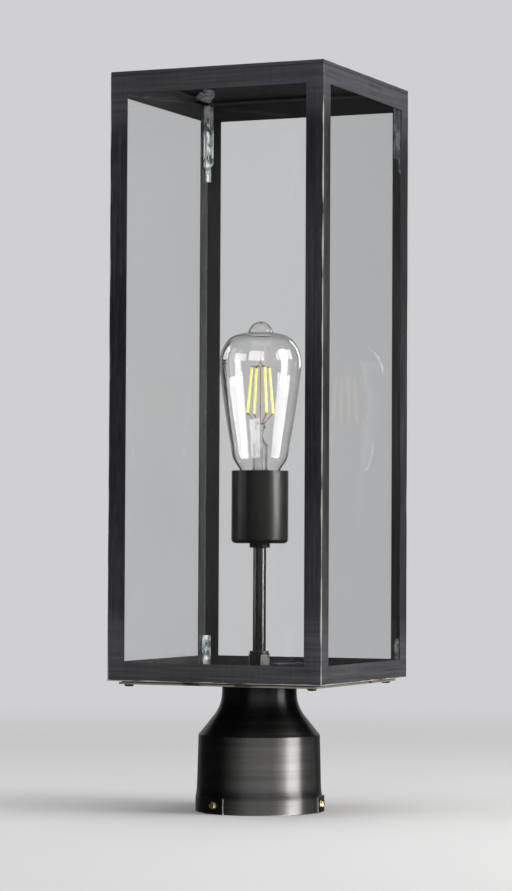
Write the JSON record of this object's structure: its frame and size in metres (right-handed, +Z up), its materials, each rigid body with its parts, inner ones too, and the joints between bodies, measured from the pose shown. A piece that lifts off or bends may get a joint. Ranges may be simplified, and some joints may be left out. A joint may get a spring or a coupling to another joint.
{
  "type": "post top lantern",
  "caption": "Tall square glazed lantern cage over one filament bulb on a slim stem, with a round fitter that slips over a post.",
  "frame": {"origin": "centre of the fitter's foot, on the post's axis", "axes": "+Z up along the post, X and Y square to the lantern's faces"},
  "size_m": [0.177, 0.177, 0.5692],
  "materials": {
    "frame_paint": "satin charcoal paint, scuffed, worn bright on the edges",
    "fitter_paint": "semi-gloss black paint on a casting",
    "stem_black": "gloss black",
    "cup_black": "satin black",
    "pane_glass": "clear float glass",
    "bulb_glass": "clear thin glass",
    "sealant": "grey sealant",
    "gasket_rubber": "black foam rubber",
    "zinc_steel": "zinc plated",
    "screw_black": "black oxide",
    "screw_brass": "yellow plated",
    "brass": "bright brass",
    "cap_nickel": "nickel plated",
    "cap_insulator": "black glass",
    "porcelain": "glazed white porcelain",
    "bushing_plastic": "black nylon",
    "filament": "yellow phosphor",
    "lead_wire": "coppered wire"
  },
  "bodies": {
    "base": {"fitter": "fitter_paint", "base_plate": "frame_paint", "base_gasket": "gasket_rubber", "nipple": "zinc_steel", "lock_washer": "zinc_steel", "lock_nut": "zinc_steel", "wire_bushing": "bushing_plastic", "stem_coupler": "stem_black", "stem_lock_ring": "stem_black", "stem_tube": "stem_black", "cup_ring": "stem_black", "socket_cup": "cup_black", "cup_nut": "zinc_steel", "holder_bracket": "zinc_steel", "holder_body": "porcelain", "screw_shell": "brass", "centre_contact": "brass", "terminal_screws": "brass"},
    "cage": {"post_front_left": "frame_paint", "post_front_right": "frame_paint", "post_back_right": "frame_paint", "post_back_left": "frame_paint", "bottom_rail_front": "frame_paint", "bottom_rail_right": "frame_paint", "bottom_rail_back": "frame_paint", "bottom_rail_left": "frame_paint", "top_rail_front": "frame_paint", "top_rail_right": "frame_paint", "top_rail_back": "frame_paint", "top_rail_left": "frame_paint", "roof_plate": "frame_paint", "pane_front": "pane_glass", "pane_right": "pane_glass", "pane_back": "pane_glass", "pane_left": "pane_glass", "corner_gussets": "zinc_steel", "upper_beads": "sealant", "lower_beads": "sealant"},
    "bulb": {"bulb_envelope": "bulb_glass", "bulb_cap": "cap_nickel", "bulb_insulator": "cap_insulator", "bulb_button": "brass", "bulb_mount": "bulb_glass", "support_hub": "bulb_glass", "filaments": "filament", "bulb_wires": "lead_wire"},
    "base_screw_1": {"base_screw_1": "screw_black"},
    "base_screw_2": {"base_screw_2": "screw_black"},
    "base_screw_3": {"base_screw_3": "screw_black"},
    "base_screw_4": {"base_screw_4": "screw_black"},
    "set_screw_1": {"set_screw_1": "screw_brass"},
    "set_screw_2": {"set_screw_2": "screw_brass"},
    "set_screw_3": {"set_screw_3": "screw_brass"}
  },
  "joints": [
    {"name": "cage_lift", "type": "slide", "parent": "base", "child": "cage", "axis": [0, 0, 1], "range_m": [0, 0.29]},
    {"name": "bulb_unscrew", "type": "slide", "parent": "base", "child": "bulb", "axis": [0, 0, 1], "range_m": [0, 0.035]},
    {"name": "base_screw_1_out", "type": "slide", "parent": "base", "child": "base_screw_1", "axis": [0, 0, -1], "range_m": [0, 0.01]},
    {"name": "base_screw_2_out", "type": "slide", "parent": "base", "child": "base_screw_2", "axis": [0, 0, -1], "range_m": [0, 0.01]},
    {"name": "base_screw_3_out", "type": "slide", "parent": "base", "child": "base_screw_3", "axis": [0, 0, -1], "range_m": [0, 0.01]},
    {"name": "base_screw_4_out", "type": "slide", "parent": "base", "child": "base_screw_4", "axis": [0, 0, -1], "range_m": [0, 0.01]},
    {"name": "set_screw_1_turn", "type": "slide", "parent": "base", "child": "set_screw_1", "axis": [-0.3584, -0.9336, 0], "range_m": [-0.0075, 0.004]},
    {"name": "set_screw_2_turn", "type": "slide", "parent": "base", "child": "set_screw_2", "axis": [0.9877, 0.1564, 0], "range_m": [-0.0075, 0.004]},
    {"name": "set_screw_3_turn", "type": "slide", "parent": "base", "child": "set_screw_3", "axis": [-0.6293, 0.7771, 0], "range_m": [-0.0075, 0.004]}
  ]
}
